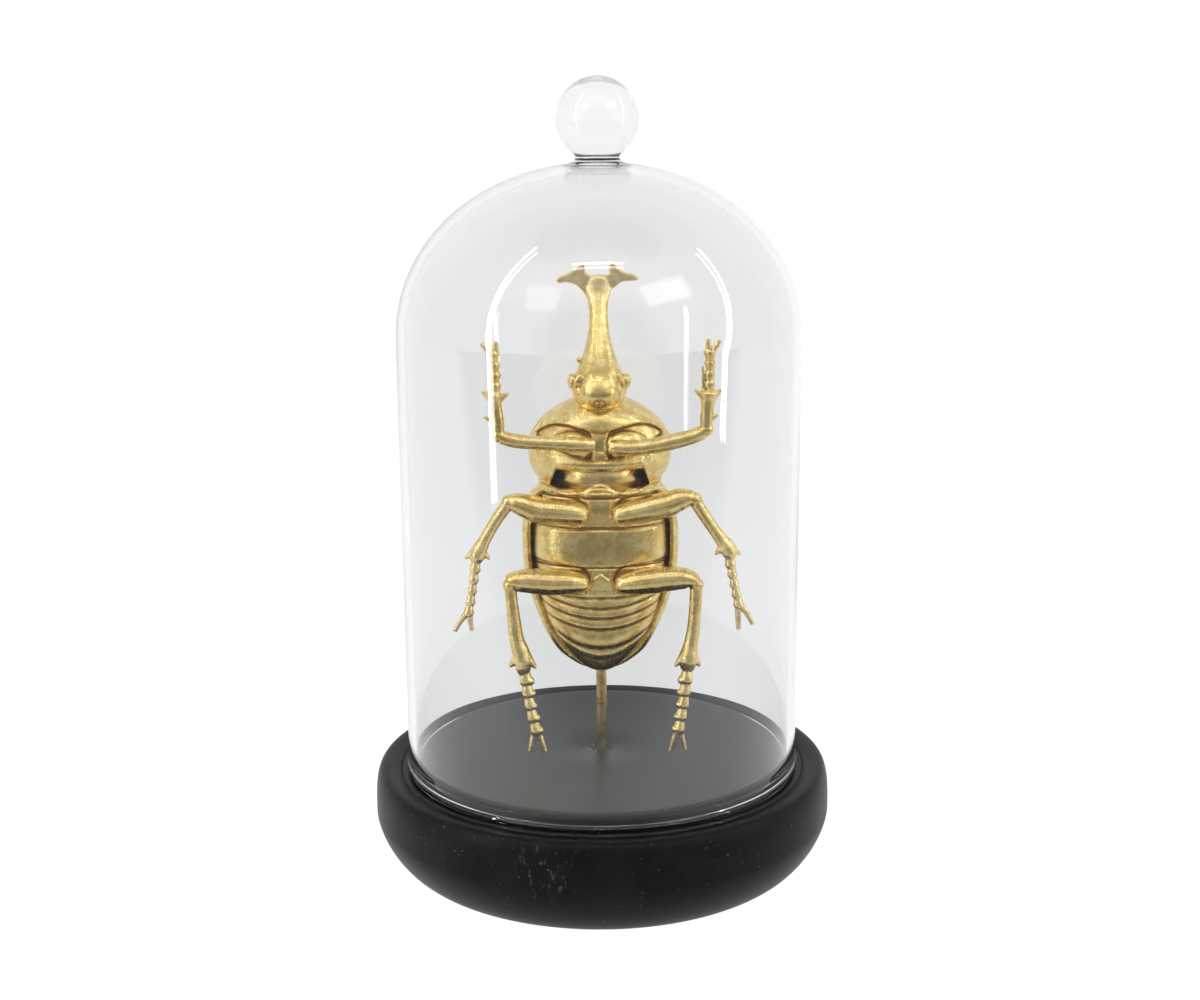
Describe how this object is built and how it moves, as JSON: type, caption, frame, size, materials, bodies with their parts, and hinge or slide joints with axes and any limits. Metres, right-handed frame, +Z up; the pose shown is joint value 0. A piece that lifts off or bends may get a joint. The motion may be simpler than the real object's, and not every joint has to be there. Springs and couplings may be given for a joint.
{
  "type": "beetle figure under glass dome",
  "caption": "Gold-painted horned beetle figure standing upright on a rod, on a turned black base under a clear glass dome with a ball knob.",
  "frame": {"origin": "middle of the base's flat underside", "axes": "+Z up along the rod and the dome's axis, -Y towards the front, which the beetle's belly faces"},
  "size_m": [0.15, 0.15, 0.2522],
  "materials": {
    "black_lacquer": "near-black satin lacquer on turned wood",
    "clear_glass": "clear polished glass",
    "gold_paint": "grainy satin gold paint on cast resin, darker in the seams",
    "gilt_brass": "gold-painted round bar"
  },
  "bodies": {
    "root": {"base": "black_lacquer", "glass_dome": "clear_glass", "rod": "gilt_brass", "head_horn": "gold_paint", "prothorax": "gold_paint", "hind_body": "gold_paint", "elytron_left": "gold_paint", "elytron_right": "gold_paint", "foreleg_left": "gold_paint", "foreleg_right": "gold_paint", "midleg_left": "gold_paint", "midleg_right": "gold_paint", "hindleg_left": "gold_paint", "hindleg_right": "gold_paint"}
  },
  "joints": []
}
